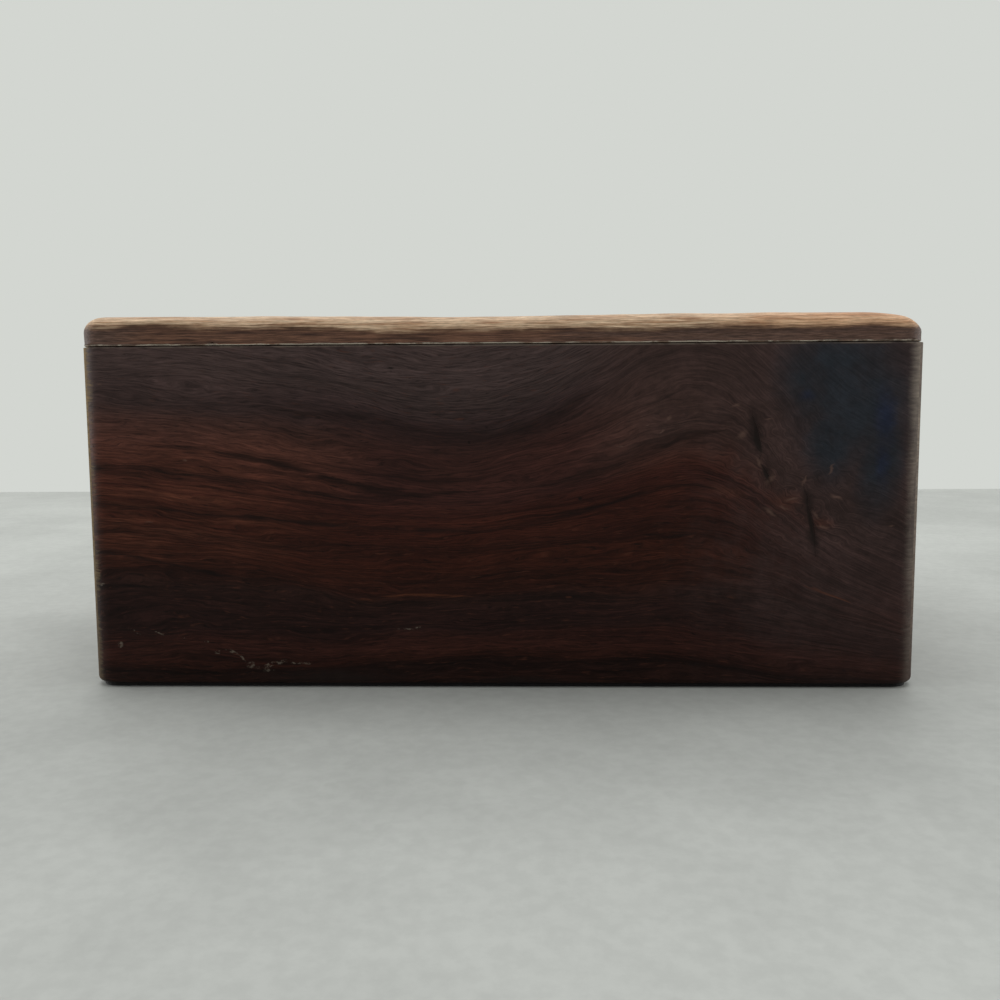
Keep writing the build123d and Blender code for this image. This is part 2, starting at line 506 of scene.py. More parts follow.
# The front board's own marks, as the photograph shows them: places along X and Z
frontMarks = {
    # drawn lines: points, then half widths
    "darkLines": [
        ([(-90, 48.8), (-64, 48.5), (-50, 47.5), (-44, 46), (-38, 44), (-20, 40), (0, 41), (90, 44)],
         [(-90, 0), (-67, 0), (-60, 0.9), (-45, 2.0), (-38, 1.1), (-20, 1.0), (2, 0), (90, 0)]),
        ([(-90, 46.6), (-82, 46), (-60, 44), (-50, 42.5), (-25, 38.5), (-8, 38), (90, 38)],
         [(-90, 1.7), (-72, 1.9), (-52, 1.9), (-25, 1.0), (-6, 0), (90, 0)]),
        ([(-90, 38.8), (-70, 37.5), (-40, 34.5), (-20, 33), (0, 33.3), (20, 37.5), (35, 41.5), (48, 40),
          (58, 34), (90, 20)],
         [(-90, 0), (-74, 0.4), (-60, 1.0), (-20, 0.9), (30, 1.1), (48, 0.9), (60, 0), (90, 0)]),
        ([(-90, 28.5), (-78, 27.8), (-66, 25.5), (-50, 23), (90, 22)],
         [(-90, 1.9), (-80, 1.7), (-74, 0.9), (-58, 0.6), (-44, 0), (90, 0)]),
    ],
    "softLines": [
        ([(-90, 58), (-30, 55.5), (-18, 53), (-6, 51.6), (6, 53.4), (16, 58.5), (24, 64), (34, 70), (90, 72)],
         [(-90, 0), (-50, 0), (-24, 3.2), (-8, 4.0), (8, 3.0), (16, 1.4), (24, 0.0), (90, 0)]),
        ([(-90, 40), (2, 40.5), (12, 42.4), (20, 45), (28, 48.2), (38, 51.6), (90, 52)],
         [(-90, 0), (4, 0), (14, 1.8), (28, 3.0), (38, 2.0), (48, 0), (90, 0)]),
    ],
    "orangeLines": [
        ([(-90, 19), (-30, 18.6), (-18, 19.3), (-8, 19), (90, 19)],
         [(-90, 0), (-33, 0), (-24, 0.5), (-8, 0.4), (-4, 0), (90, 0)]),
        ([(-90, 22), (60, 21.8), (70, 17.8), (90, 12)],
         [(-90, 0), (60, 0), (65, 0.7), (69, 0.5), (72, 0), (90, 0)]),
    ],
    # spots: place, half sizes and turn in degrees
    "stains": [
        ((70, 60), (17, 22), 8), ((64, 63), (12, 15), 0), ((76, 47), (7, 16), -6), ((66, 51), (8, 12), 0),
    ],
    "blueStains": [((76.6, 55), (3.2, 9), 3), ((76.4, 46), (2.2, 7), 0), ((61, 59.5), (2.4, 1.6), 0)],
    # soft dark spots: round the knot partly dark wood and partly painted shadow round the splits, then two
    # dark patches along the foot
    "knotShade": [
        ((51.0, 53), (2.0, 6), 8), ((51.6, 50), (1.4, 3), 12), ((53.6, 44), (1.4, 3.6), 18),
        ((61.6, 38), (1.5, 4), 8), ((63, 31), (1.7, 5), 8), ((-34, 2.2), (20, 2.6), 0),
        ((4, 1.4), (13, 1.7), 0),
    ],
    "warmPatches": [
        ((57.6, 38.4), (4.6, 2.8), 12), ((64.6, 34), (3.6, 1.8), -12), ((46, 40.5), (6, 1.4), -14),
    ],
    "paleFlecks": [
        ((48.2, 51.8), (1.9, 0.9), 35), ((54.2, 42.8), (2.0, 0.8), 50), ((54.4, 36.2), (2.6, 0.6), -30),
        ((66.2, 44.8), (1.8, 0.5), 62), ((67.4, 39.3), (1.7, 0.6), -22), ((63.3, 35.6), (1.9, 0.5), -52),
        ((64.8, 33.3), (2.0, 0.4), -4), ((53.6, 54.9), (1.1, 0.3), 8), ((51.8, 46.2), (1.9, 0.5), -55),
        ((58.4, 38.8), (2.2, 0.45), 14), ((57.0, 37.2), (1.6, 0.4), -20), ((47.2, 57.6), (1.4, 0.4), 20),
        ((33.6, 55.0), (1.3, 0.5), 45), ((32.6, 52.6), (1.0, 0.4), 30), ((61.0, 42.6), (1.6, 0.4), 60),
        ((24, 49.5), (0.9, 0.3), 10), ((29.5, 53.8), (0.6, 0.3), 20), ((-63.5, 47.1), (0.6, 0.4), 0),
        ((-80.5, 62.4), (0.8, 0.35), -10), ((-71.5, 34.6), (1.0, 0.25), -6), ((78.6, 33.4), (1.0, 0.25), 0),
    ],
    "dust": [
        ((-78.5, 9), (0.7, 0.8), 0), ((-58, 7.5), (0.9, 0.5), 0), ((-82, 21.5), (1.2, 0.35), 12),
        ((-76, 12), (2.6, 0.22), -24), ((-70, 11.4), (1.3, 0.2), -20), ((-51.4, 4.8), (1.0, 0.9), 30),
        ((-47, 5.0), (4.2, 0.5), 14), ((-43, 5.4), (3.0, 0.3), -8), ((-55, 7.6), (1.8, 0.4), -26),
        ((-53, 6.2), (0.4, 1.2), 30), ((-48.5, 3.9), (2.2, 0.3), -6), ((-18, 12.5), (3.4, 0.25), 4),
        ((-60.5, 9.6), (0.5, 0.3), 0), ((-40, 5.2), (1.0, 0.4), 0), ((-65, 10.4), (0.6, 0.2), 0),
    ],
    "pits": [((16.5, 39), (0.6, 0.5), 0), ((-6, 50.5), (0.5, 0.4), 0)],
    # up to which share of its size a spot is full
    "full": {
        "stains": 0.25, "blueStains": 0.0, "knotShade": 0.1, "warmPatches": 0.0, "paleFlecks": 0.0,
        "dust": 0.4, "pits": 0.3,
    },
    "darkColour": (26, 13, 10),
    "orangeColour": (92, 52, 34),
    "stainColour": (38, 44, 51),
    "blueColour": (34, 41, 62),
    "knotColour": (32, 24, 22),
    "warmColour": (82, 50, 41),
    "fleckColour": (104, 80, 70),
    "dustColour": (118, 108, 96),
    "splitShadeColour": (36, 28, 25),
    "arrisColour": (112, 100, 90),
    "veilAndSheenColour": (78, 62, 59),
    "rightColour": (62, 47, 45),
    "archColour": (64, 47, 43),
    "tawnyColour": (94, 54, 40),
    "bowlColour": (47, 25, 23),
    # how strongly they lie on the wood, and what they do to its gloss and its height
    "stainStrength": 0.92,
    "warmStrength": 0.7,
    "fleckStrength": 0.62,
    "dustStrength": 0.75,
    "dustRough": 0.4,
    "stainRough": -0.05,
    "pitDepth": 3.0,
    "dustHeight": 0.6,
}

frontTextures = {
    "broken": ((9, 0.7, 5), 3, 0.6, 51),
    "mottled": ((7, 9, 5), 4, 0.65, 53),
    "crumbs": ((2.2, 1.8, 5), 4, 0.72, 57),
    "specks": ((0.8, 0.6, 1), 3, 0.7, 59),
    "frayed": ((5, 0.6, 5), 4, 0.66, 61),
    "patchy": ((5, 11, 5), 4, 0.62, 63),
    "gaps": ((6, 6, 1), 4, 0.7, 67),
    "lit": ((22, 1.1, 5), 4, 0.66, 71),
}

# Where the front's tones begin and are full, in millimetres or in a texture, then their strengths there
frontZones = {
    "crumbs": (0.32, 0.68, 0.86, 1.14),
    "mottling": (0.3, 0.7, 0.84, 1.16),
    "even": (0.0, 2.0, 0.35, 1.65),  # evens the grain out a little
    "quiet": (0.0, 2.0, 0.6, 1.4),
    "veilUp": (46.0, 68.0, 0.0, 0.6),
    "veilRight": (10.0, 45.0, 0.1, 1.0),
    "veilLeft": (-25.0, -60.0, 0.1, 1.0),
    "bowlLeft": (-40.0, -22.0),
    "bowlRight": (34.0, 14.0),
    "bowlFoot": (42.0, 46.0),
    "bowlTop": (62.0, 54.0, 0.0, 0.7),
    "archAlong": (10.0, 34.0),
    "archLevel": (43.5, 51.0, 0.0, 0.85),
    "rightStray": (0.3, 0.7, -5.0, 5.0),
    "rightAlong": (32.0, 68.0, 0.0, 0.88),
    "rightUp": (2.0, 24.0, 0.3, 1.0),
    "tawnyAlong": (-30.0, -62.0),
    "tawnyFoot": (24.0, 30.0),
    "tawnyTop": (58.0, 40.0),
    "tawnyStreaks": (0.4, 0.68, 0.1, 0.75),
    "darkBreaks": (0.3, 0.6, 0.25, 0.85),
    "darkFade": (40.0, 60.0, 1.0, 0.4),
    "softBreaks": (0.3, 0.6, 0.35, 0.55),
    "orangeBreaks": (0.4, 0.6, 0.0, 0.7),
    "stainMottle": (0.3, 0.6, 0.75, 1.0),
    "blueMottle": (0.3, 0.6, 0.5, 0.85),
    "knotMottle": (0.3, 0.55, 0.45, 0.8),
    "splitDepth": (0.08, 0.3),
    "splitEnd": (3.0, 2.0),
    "splitLeft": (46.0, 47.0),
    "splitRight": (68.0, 67.0),
    "splitFoot": (20.0, 22.0),
    "splitTop": (63.0, 61.0),
    "specks": (0.48, 0.62),
    "arrisUp": (69.5, 69.75),
    "arrisDepth": (0.4, 0.2),
    "arrisGaps": (0.42, 0.55, 0.15, 0.75),
}


def within(wood, *pairs):
    # pairs of a value and the name of its zone
    return product(wood["tree"], *[ramp(wood["tree"], value, *wood["zones"][name]) for value, name in pairs])


def frontTones(wood, colour):
    # paler and greyer above (partly the wood's tone, partly a painted sheen), greyer wood all over the right
    # end, dark in the bowl, with tawny streaks on the left
    tree, along, across = wood["tree"], wood["along"], wood["across"]
    level, grain = wood["level"], wood["grainTone"]
    sideways = either(tree, within(wood, (along, "veilRight")), within(wood, (along, "veilLeft")))
    veil = product(tree, within(wood, (across, "veilUp")), sideways)
    colour = lay(wood, colour, veil, frontMarks["veilAndSheenColour"], grain)
    bowl = within(wood, (along, "bowlLeft"), (along, "bowlRight"), (level, "bowlFoot"), (level, "bowlTop"))
    colour = lay(wood, colour, bowl, frontMarks["bowlColour"], grain)
    evened = product(tree, wood["crumbled"], linear(tree, grain, *frontZones["even"]))
    overArch = within(wood, (along, "archAlong"), (level, "archLevel"))
    colour = lay(wood, colour, overArch, frontMarks["archColour"], evened)
    strayed = calc(tree, "ADD", along, within(wood, (wood["mottled"], "rightStray")))
    right = within(wood, (strayed, "rightAlong"), (across, "rightUp"))
    colour = lay(wood, colour, right, frontMarks["rightColour"], evened)
    lit = texture(wood, frontTextures["lit"], along, level, 0.0)
    tawny = within(wood, (along, "tawnyAlong"), (across, "tawnyFoot"), (across, "tawnyTop"),
                   (lit, "tawnyStreaks"))
    return lay(wood, colour, tawny, frontMarks["tawnyColour"], grain)


def frontLines(wood, colour):
    tree, along, grain = wood["tree"], wood["along"], wood["grainTone"]
    broken = texture(wood, frontTextures["broken"], along, wood["level"], 0.0)
    dark = drawnLines(wood, frontMarks["darkLines"])
    dark = product(tree, dark, within(wood, (broken, "darkBreaks")), within(wood, (along, "darkFade")))
    soft = product(tree, drawnLines(wood, frontMarks["softLines"]), within(wood, (broken, "softBreaks")))
    colour = lay(wood, colour, either(tree, dark, soft), frontMarks["darkColour"], grain)
    orange = drawnLines(wood, frontMarks["orangeLines"])
    orange = product(tree, orange, within(wood, (broken, "orangeBreaks")))
    return lay(wood, colour, orange, frontMarks["orangeColour"], grain)


def knotAndStain(wood, colour, inky):
    # the knot, the blue-black stain beside it and the flecks round it; the dark spots round the splits are
    # partly painted shadow
    tree, marks, mottled, crumbled = wood["tree"], frontMarks, wood["mottled"], wood["crumbled"]
    quiet = product(tree, crumbled, linear(tree, wood["grainTone"], *frontZones["quiet"]))
    colour = lay(wood, colour, product(tree, inky, marks["stainStrength"]), marks["stainColour"], quiet)
    blue = product(tree, spots(wood, "blueStains"), within(wood, (mottled, "blueMottle")))
    colour = lay(wood, colour, blue, marks["blueColour"], quiet)
    knot = product(tree, spots(wood, "knotShade"), within(wood, (mottled, "knotMottle")))
    colour = lay(wood, colour, knot, marks["knotColour"], crumbled)
    warm = product(tree, spots(wood, "warmPatches"), marks["warmStrength"])
    colour = lay(wood, colour, warm, marks["warmColour"], product(tree, crumbled, wood["grainTone"]))
    pale = product(tree, spots(wood, "paleFlecks"), marks["fleckStrength"])
    return lay(wood, colour, pale, marks["fleckColour"], crumbled)


def frontExtras(wood, colour, roughness, height):
    wood["zones"] = frontZones
    tree, marks = wood["tree"], frontMarks
    along, across, inside = wood["along"], wood["across"], wood["inside"]
    mottled = texture(wood, frontTextures["mottled"], along, across, 0.0)
    wood["mottled"] = mottled
    crumbs = texture(wood, frontTextures["crumbs"], along, across, 0.0)
    wood["crumbled"] = within(wood, (crumbs, "crumbs"), (mottled, "mottling"))
    colour = frontLines(wood, frontTones(wood, colour))
    inky = product(tree, spots(wood, "stains"), within(wood, (mottled, "stainMottle")))
    colour = knotAndStain(wood, colour, inky)
    pits = spots(wood, "pits")
    colour = lay(wood, colour, pits, marks["darkColour"])

    # the splits are painted dark inside, as painted shade in their grooves
    split = within(wood, (inside, "splitDepth"), (inside, "splitEnd"), (along, "splitLeft"),
                   (along, "splitRight"), (across, "splitFoot"), (across, "splitTop"))
    colour = lay(wood, colour, split, marks["splitShadeColour"])

    # dust and scratches near the foot
    specks = texture(wood, frontTextures["specks"], along, across, 0.0)
    dust = product(tree, spots(wood, "dust"), within(wood, (specks, "specks")))
    colour = lay(wood, colour, product(tree, dust, marks["dustStrength"]), marks["dustColour"])
    roughness = calc(tree, "ADD", roughness, product(tree, dust, marks["dustRough"]))
    roughness = calc(tree, "ADD", roughness, product(tree, inky, marks["stainRough"]))
    height = calc(tree, "SUBTRACT", height, product(tree, pits, marks["pitDepth"]))
    height = calc(tree, "ADD", height, product(tree, dust, marks["dustHeight"]))

    # a pale broken line on the upper arris, with gaps
    gaps = texture(wood, frontTextures["gaps"], along, across, 0.0)
    arris = within(wood, (across, "arrisUp"), (inside, "arrisDepth"), (gaps, "arrisGaps"))
    colour = lay(wood, colour, arris, marks["arrisColour"])
    # the pale strips on the rounded corners: partly wear, partly painted highlight
    toLeft = calc(tree, "MULTIPLY", along, -1.0)
    colour, roughness = wornAndLitCorner(wood, toLeft, "left", "front", colour, roughness)
    colour, roughness = wornAndLitCorner(wood, along, "right", "front", colour, roughness)
    return colour, roughness, height


# How the rounded front corners are painted paler: partly wood rubbed down, partly a painted highlight where
# the rounded corner turns to the light, fading towards the foot. The last two rows of each side say where
# that begins and is full, along the front and along the side wall
cornerWearAndHighlight = {
    "left": {
        "low": (124, 110, 86),
        "high": (148, 126, 90),
        "strength": 0.78,
        "fray": 0.7,
        "front": (82.2, 84.4),
        "side": (51.4, 54.0),
    },
    "right": {
        "low": (118, 106, 96),
        "high": (156, 144, 130),
        "strength": 0.78,
        "fray": 0.3,
        "front": (80.6, 84.4),
        "side": (50.6, 54.2),
    },
    "levels": (8.0, 60.0),  # from the low colour to the high one
    "fraying": (0.3, 0.7),
    "footFade": (0.0, 26.0, 0.6, 1.0),
    "patches": (0.3, 0.5, 0.4, 1.0),
    "streaks": (0.3, 0.7, 0.72, 1.2),
    "duller": 0.5,
}


def wornAndLitCorner(wood, place, side, face, colour, roughness):
    tree, across, wear = wood["tree"], wood["across"], cornerWearAndHighlight[side]
    frayed = texture(wood, frontTextures["frayed"], place, across, wood["deep"])
    patchy = texture(wood, frontTextures["patchy"], place, across, wood["deep"])
    ragged, fray = place, wear["fray"]
    for strayed in (frayed, patchy):
        ragged = calc(tree, "ADD", ragged, linear(tree, strayed, *cornerWearAndHighlight["fraying"], -fray, fray))
    edge = product(tree, ramp(tree, ragged, *wear[face], 0.0, wear["strength"]),
                   ramp(tree, patchy, *cornerWearAndHighlight["patches"]), ramp(tree, across, *cornerWearAndHighlight["footFade"]))
    tall = ramp(tree, across, *cornerWearAndHighlight["levels"])
    # paler higher up: partly rubbed wood, partly painted highlight
    rubbedAndLit = mixColour(tree, tall, tone(*wear["low"]), tone(*wear["high"]))
    rubbedAndLit = brighten(tree, rubbedAndLit, ramp(tree, frayed, *cornerWearAndHighlight["streaks"]))
    duller = calc(tree, "ADD", roughness, product(tree, edge, cornerWearAndHighlight["duller"]))
    return mixColour(tree, edge, colour, rubbedAndLit), duller


def sideWearAndHighlight(side):
    # a side wall's share of the worn front corner and its painted highlight; its grain runs along Y, away
    # from the front
    def wear(wood, colour, roughness, height):
        toFront = calc(wood["tree"], "MULTIPLY", wood["along"], -1.0)
        return *wornAndLitCorner(wood, toFront, side, "side", colour, roughness), height
    return wear


frontFigure = {
    "grain": "XZY",  # the axes that lie along, across and through the board
    "seed": 3.0,
    "face": wallLow.y / mm,  # where the board's outer face lies
    "slant": 0.35,  # how far the figure climbs for each millimetre into the board
    "guides": [  # a level of the figure and the line that it follows
        (4, [(-90, 3), (-50, 2.8), (-25, 3.6), (0, 4.8), (20, 4.8), (35, 4.2), (55, 2.4), (90, 0.6)]),
        (21, [(-90, 24.3), (-70, 24), (-50, 22.2), (-25, 19.3), (-5, 19), (20, 21.2), (38, 22), (54, 19),
              (70, 13.5), (90, 9)]),
        (36, [(-90, 38.6), (-70, 37.3), (-40, 34.5), (-12, 32.7), (5, 33.8), (22, 37), (34, 39.6),
              (43, 39.4), (54, 33), (70, 23.5), (90, 14)]),
        (46, [(-90, 46.8), (-65, 45), (-40, 41), (-25, 38.8), (-8, 38), (8, 40.2), (22, 43.6), (32, 46.4),
              (40, 47), (48, 43.8), (56, 38), (70, 29), (90, 20)]),
        (58, [(-90, 59.5), (-62, 57.6), (-40, 55), (-25, 51.5), (-8, 49.3), (6, 52), (20, 58), (33, 65),
              (43, 66), (52, 60), (64, 48), (90, 34)]),
    ],
    "bandRange": (-6, 84),
    "bands": [  # a level of the figure and its colour
        (-6, (38, 22, 17)), (3, (36, 19, 15)), (4.6, (25, 12, 9)), (6, (44, 21, 15)), (8.5, (56, 29, 23)),
        (11, (49, 25, 20)), (13, (43, 24, 21)), (17, (40, 22, 19)), (20, (42, 24, 20)), (22, (47, 22, 15)),
        (27, (55, 25, 16)), (31, (49, 22, 15)), (34, (57, 26, 18)), (38, (61, 29, 21)), (42, (58, 28, 22)),
        (45, (70, 37, 29)), (48, (80, 46, 37)), (54, (84, 51, 42)), (56.5, (68, 43, 37)),
        (58.5, (52, 35, 33)), (62, (56, 41, 40)), (66, (62, 49, 47)), (72, (72, 58, 56)), (84, (77, 62, 59)),
    ],
    "streaks": 0.36,
    "flecks": 0.4,
    "fleckColour": (92, 54, 40),
    "poreColour": (14, 7, 6),
    "rough": (0.36, 0.5),
    "specular": 0.1,
    "relief": 0.05,
    "calmFrom": 52.0,  # above this level the streaks are fainter
    "swirl": ((60, 42), (24, 30), 0, 0.1),  # round the knot: place, half sizes, turn and full share
    "swirlAmount": 3.2,
    "extras": frontExtras,
}

# The boards that the photograph doesn't show have a plainer figure
plainGuides = [
    (5, [(-90, 4), (-40, 6), (10, 4.5), (50, 6.5), (90, 5)]),
    (30, [(-90, 27), (-50, 30), (-10, 34), (30, 32), (60, 27), (90, 28)]),
    (60, [(-90, 58), (-45, 62), (0, 66), (40, 62), (90, 57)]),
]

darkBands = [
    (-6, (36, 17, 12)), (6, (56, 28, 18)), (9, (32, 15, 11)), (13, (62, 31, 20)), (22, (66, 32, 20)),
    (25, (36, 17, 12)), (27, (62, 29, 18)), (38, (70, 35, 24)), (41, (40, 20, 15)), (47, (62, 36, 28)),
    (55, (56, 31, 23)), (58, (36, 20, 16)), (61, (66, 40, 31)), (72, (68, 46, 38)), (84, (62, 42, 34)),
]


def plainFigure(grain, seed, face, **changes):
    board = dict(frontFigure, grain=grain, seed=seed, face=face / mm, guides=plainGuides, bands=darkBands)
    for key in ("swirl", "swirlAmount", "calmFrom", "extras"):
        del board[key]
    board.update(changes)
    return board


# The lid is a paler, streakier board, and its grain lies along X too
lidFigure = {
    "guides": [
        (-50, [(-90, -47), (-30, -52), (30, -50), (90, -46)]),
        (-20, [(-90, -22), (-35, -18), (15, -14), (55, -20), (90, -23)]),
        (15, [(-90, 14), (-40, 20), (10, 26), (50, 21), (90, 15)]),
        (50, [(-90, 50), (-30, 54), (30, 55), (90, 49)]),
    ],
    "bandRange": (-62, 66),
    "bands": [
        (-60, (118, 84, 62)), (-52, (98, 66, 48)), (-46, (70, 45, 34)), (-40, (92, 60, 44)),
        (-30, (104, 70, 51)), (-26, (62, 40, 31)), (-20, (86, 56, 41)), (-8, (96, 62, 44)),
        (-2, (56, 36, 28)), (6, (84, 53, 38)), (16, (100, 66, 47)), (20, (60, 39, 30)), (28, (92, 60, 44)),
        (38, (104, 70, 52)), (44, (68, 44, 34)), (56, (96, 64, 47)), (64, (88, 58, 43)),
    ],
    "slant": -0.5,
    "streaks": 0.32,
    "flecks": 0.35,
    "fleckColour": (140, 104, 80),
    "poreColour": (30, 19, 15),
    "specular": 0.15,
}

# Where the hand-planed easing of the lid begins, along its front: X and Z
easingLine = [
    (-86, 73.4), (-80, 73.9), (-75, 73.9), (-70, 74.5), (-62, 74.0), (-55, 73.4), (-45, 73.6), (-35, 73.5),
    (-27, 72.8), (-20, 72.4), (-10, 72.8), (0, 72.7), (10, 73.1), (20, 72.8), (30, 72.9), (45, 73.4),
    (52, 73.2), (60, 73.0), (70, 73.3), (86, 72.9),
]

lidEdge = {
    # for each side: where the pale easing, partly rubbed wood and partly painted highlight, begins to fade,
    # where it ends, and how strong it is
    "front": (4.5, 11.0, 1.0),
    "left": (2.0, 7.0, 0.35),
    "right": (8.0, 17.0, 0.8),
    "back": (2.0, 6.0, 0.3),
    "lineRoom": (-70.0, 8.0),  # the lift and the span of the easing's line
    "topSheenTan": (156, 110, 78),
    "between": (132, 98, 74),
    "paleLight": (240, 212, 178),
    "paleDark": (172, 130, 98),
    "tanLight": (240, 199, 160),
    "tanDark": (184, 134, 97),
    "brownLight": (136, 98, 78),
    "brownDark": (68, 48, 41),
    "brownGrey": (96, 76, 68),
    "under": (46, 30, 26),
    "paleLine": (212, 200, 184),
    "betweenStrength": 0.6,
    "duller": 0.08,
    "mark": "lowerArris",  # the attribute that marks the lower arris, where the pale broken line lies
}

lidTextures = {
    "ragged": ((11, 5, 1), 4, 0.6, -16),
    "onFace": ((11, 0.42, 2.5), 4, 0.7, 3),
    "onTop": ((20, 4.0, 0.8), 4, 0.62, 3),
    "onEnd": ((3, 0.5, 0.7), 4, 0.7, 4),
    "fine": ((2.6, 0.18, 0.5), 3, 0.66, 5),
    "broad": ((30, 3.0, 20), 2, 0.5, 7),
    "gaps": ((5, 5, 1), 4, 0.7, 9),
}

# As frontZones, for the lid
lidZones = {
    "frontFace": (-55.4, -53.6, 1.0, 0.0),
    "leftFace": (-83.0, -84.4),
    "rightFace": (83.0, 84.4),
    "streak": (0.32, 0.68),
    "fineTone": (0.3, 0.7, 0.62, 1.36),
    "waverBroad": (0.25, 0.75, -0.3, 0.3),  # how far the easing's line strays, in millimetres
    "waverFine": (0.3, 0.7, -0.35, 0.35),
    "top": (74.6, 75.8),
    "topPatches": (0.3, 0.7, 0.25, 0.6),
    "greyStray": (0.2, 0.8, -30.0, 30.0),
    "greyRight": (0.0, 45.0, 0.0, 0.7),
    "greyLeft": (-68.0, -81.0, 0.0, 0.8),
    "shadow": (-1.6, -0.5, 0.0, 0.45),  # millimetres above the easing's line
    "shadowPatches": (0.35, 0.6, 0.2, 1.0),
    "sideTop": (75.6, 74.6),
    "sideFoot": (70.14, 70.3),
    "tanStray": (0.3, 0.7, -6.0, 6.0),
    "tan": (40.0, 62.0),
    "frayFine": (0.3, 0.7, -4.0, 4.0),
    "frayBroad": (0.3, 0.7, -2.0, 2.0),
    "between": (-0.9, 0.1),
    "easing": (-0.5, 0.9),
    "residueTop": (70.5, 70.3),
    "residueGaps": (0.4, 0.52, 0.2, 0.9),
}


def lidExtras(wood, colour, roughness, height):
    wood["zones"] = lidZones
    tree, along, across, up, edge = wood["tree"], wood["along"], wood["across"], wood["deep"], lidEdge
    reach, last = figure["reach"], easingLine[-1][0]
    line = guideCurve(tree, along, [(x * reach / last, z) for x, z in easingLine], *edge["lineRoom"])
    ragged, gaps = (texture(wood, lidTextures[kind], along, across, 0.0) for kind in ("ragged", "gaps"))
    kinds = ("onFace", "onTop", "onEnd", "fine", "broad")
    grained = [texture(wood, lidTextures[kind], along, up, across) for kind in kinds]
    onFace, onTop, onEnd, fine, broad = grained
    combed = mixValue(tree, within(wood, (across, "frontFace")), onTop, onFace)
    atEnd = either(tree, within(wood, (along, "leftFace")), within(wood, (along, "rightFace")))
    combed = mixValue(tree, atEnd, combed, onEnd)
    streak = within(wood, (combed, "streak"))
    fineTone = linear(tree, fine, *lidZones["fineTone"])
    waver = calc(tree, "ADD", within(wood, (ragged, "waverBroad")), within(wood, (combed, "waverFine")))
    above = calc(tree, "ADD", calc(tree, "SUBTRACT", up, line), waver)

    # the top is painted a warmer, lighter brown than the underside: partly the wood's tone, partly a painted
    # sheen from the light above
    topToneAndSheen = within(wood, (up, "top"), (broad, "topPatches"))
    colour = lay(wood, colour, topToneAndSheen, edge["topSheenTan"], wood["grainTone"])

    # brown edge wood, greyer at both ends, with a painted shadow just under the easing
    strayed = calc(tree, "ADD", along, within(wood, (broad, "greyStray")))
    grey = either(tree, within(wood, (strayed, "greyRight")), within(wood, (along, "greyLeft")))
    brown = mixColour(tree, streak, tone(*edge["brownDark"]), tone(*edge["brownLight"]))
    brown = lay(wood, brown, grey, edge["brownGrey"], fineTone)
    brown = lay(wood, brown, within(wood, (above, "shadow"), (broad, "shadowPatches")), edge["under"])
    onSide = within(wood, (up, "sideTop"), (up, "sideFoot"))
    colour = mixColour(tree, onSide, colour, brighten(tree, brown, fineTone))

    # the easing itself, painted pale along the front and tan at the right end, fading out over the top:
    # partly rubbed wood, partly a painted highlight of the light from above
    strayed = calc(tree, "ADD", along, within(wood, (ragged, "tanStray")))
    pale = mixColour(tree, streak, tone(*edge["paleDark"]), tone(*edge["paleLight"]))
    warm = mixColour(tree, streak, tone(*edge["tanDark"]), tone(*edge["tanLight"]))
    eased = brighten(tree, mixColour(tree, within(wood, (strayed, "tan")), pale, warm), fineTone)
    inward = {
        "front": calc(tree, "SUBTRACT", across, lidLow.y / mm),
        "left": calc(tree, "SUBTRACT", along, lidLow.x / mm),
        "right": calc(tree, "SUBTRACT", lidHigh.x / mm, along),
        "back": calc(tree, "SUBTRACT", lidHigh.y / mm, across),
    }
    frayed = calc(tree, "ADD", within(wood, (combed, "frayFine")), within(wood, (ragged, "frayBroad")))
    reaches = []
    for side, away in inward.items():
        start, end, strength = edge[side]
        reaches.append(ramp(tree, calc(tree, "ADD", away, frayed), start, end, strength, 0.0))
    rubbedAndLit = either(tree, *reaches)
    nearly = product(tree, within(wood, (above, "between")), rubbedAndLit, edge["betweenStrength"])
    colour = lay(wood, colour, nearly, edge["between"], fineTone)
    easing = product(tree, within(wood, (above, "easing")), rubbedAndLit)
    colour = mixColour(tree, easing, colour, eased)

    # a pale broken line along the lower arris
    marked = addNode(tree, "Attribute", {}, attribute_name=edge["mark"]).outputs["Fac"]
    paleLine = product(tree, marked, within(wood, (up, "residueTop")), within(wood, (gaps, "residueGaps")))
    colour = lay(wood, colour, paleLine, edge["paleLine"])
    roughness = calc(tree, "ADD", roughness, product(tree, easing, edge["duller"]))
    height = calc(tree, "ADD", height, product(tree, fine, onSide))
    return colour, roughness, height


woodFor = {
    "front_wall": rosewood("rosewoodFront", frontFigure),
    "back_wall": rosewood("rosewoodBack", plainFigure("XZY", 40.0, wallHigh.y, slant=-0.3)),
    "left_wall": rosewood("rosewoodLeft", plainFigure("YZX", 60.0, wallLow.x, extras=sideWearAndHighlight("left"))),
    "right_wall": rosewood(
        "rosewoodRight", plainFigure("YZX", 80.0, wallHigh.x, slant=-0.3, extras=sideWearAndHighlight("right"))
    ),
    "base_board": rosewood("rosewoodBase", plainFigure("XYZ", 90.0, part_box("base_board")[1].z)),
    "lid_board": rosewood("rosewoodLid", plainFigure("XYZ", 21.0, lidHigh.z, extras=lidExtras, **lidFigure)),
}
print("rosewood ready")


# Walls: one blank with eased corners, cut into four boards at the mitres

